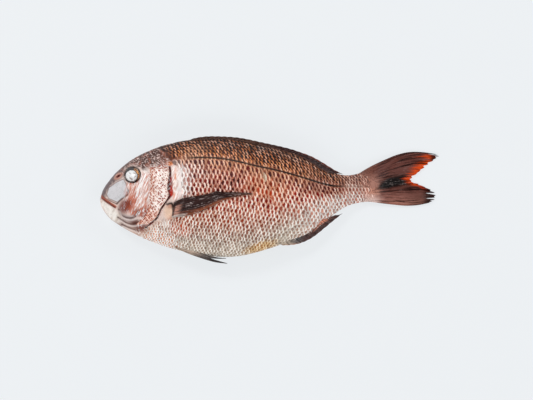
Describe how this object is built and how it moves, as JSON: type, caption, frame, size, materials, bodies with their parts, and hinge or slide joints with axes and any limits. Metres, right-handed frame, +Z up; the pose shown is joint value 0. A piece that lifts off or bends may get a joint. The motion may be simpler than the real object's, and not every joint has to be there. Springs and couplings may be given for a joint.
{
  "type": "whole raw fish",
  "caption": "Whole raw sea bream lying on its side, with scaled body, folded fins, forked tail, gill covers and clouded eyes.",
  "frame": {"origin": "on the surface the fish lies on, under the middle of its box", "axes": "+X from the snout to the tail, +Y from the belly to the back, +Z up, away from the surface"},
  "size_m": [0.36, 0.136, 0.0488],
  "materials": {
    "skin": "wet scaled skin, brown on the back, rose on the flank and silver white on the belly",
    "gill_cover": "wet smooth skin over bone, pink and silver",
    "eye": "wet and clouded, with a dark rim",
    "fin": "wet dark brown rays and membrane, orange red towards the tail's edge"
  },
  "bodies": {
    "root": {"body": "skin", "left_gill_cover": "gill_cover", "right_gill_cover": "gill_cover", "left_eye": "eye", "right_eye": "eye", "dorsal_fin": "fin", "anal_fin": "fin", "tail_fin": "fin", "left_pectoral_fin": "fin", "right_pectoral_fin": "fin", "left_pelvic_fin": "fin", "right_pelvic_fin": "fin"}
  },
  "joints": []
}
